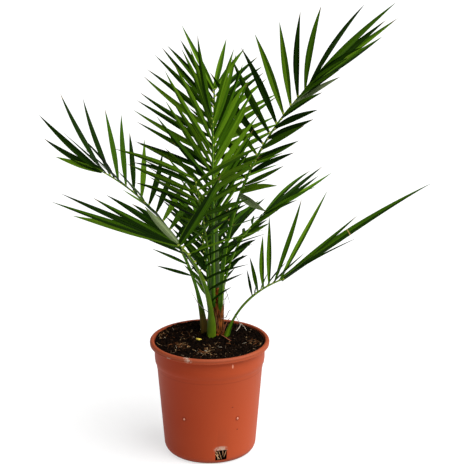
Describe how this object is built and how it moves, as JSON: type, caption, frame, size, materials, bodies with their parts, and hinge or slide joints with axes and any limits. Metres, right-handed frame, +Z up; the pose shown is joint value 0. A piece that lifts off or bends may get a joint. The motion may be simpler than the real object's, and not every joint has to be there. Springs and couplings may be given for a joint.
{
  "type": "potted canary island date palm",
  "caption": "Young feather palm with stiff arching fronds on a short fibrous trunk, in its round tapered nursery pot filled with compost.",
  "frame": {"origin": "middle of the pot's flat underside", "axes": "+Z up; the front that the picture shows faces -Y, with the tallest frond leaning to +X"},
  "size_m": [0.6208, 0.4134, 0.7183],
  "materials": {
    "pot_plastic": "satin injection-moulded terracotta-coloured plastic",
    "compost": "moist dark bark and coir compost",
    "fibrous_bark": "rough reddish-brown leaf bases and fibre",
    "leaf": "waxy dark green leaf",
    "young_leaf": "waxy yellow-green leaf"
  },
  "bodies": {
    "root": {"pot": "pot_plastic", "soil": "compost", "trunk": "fibrous_bark", "spear": "young_leaf", "frond_high_right": "leaf", "frond_upright_back": "leaf", "frond_low_left": "leaf", "frond_low_front": "leaf", "frond_low_right": "leaf", "frond_back_right": "leaf", "frond_upright_front": "young_leaf", "frond_middle_left": "young_leaf", "frond_back_left": "leaf", "frond_back_middle": "leaf", "frond_back_low": "leaf"}
  },
  "joints": []
}
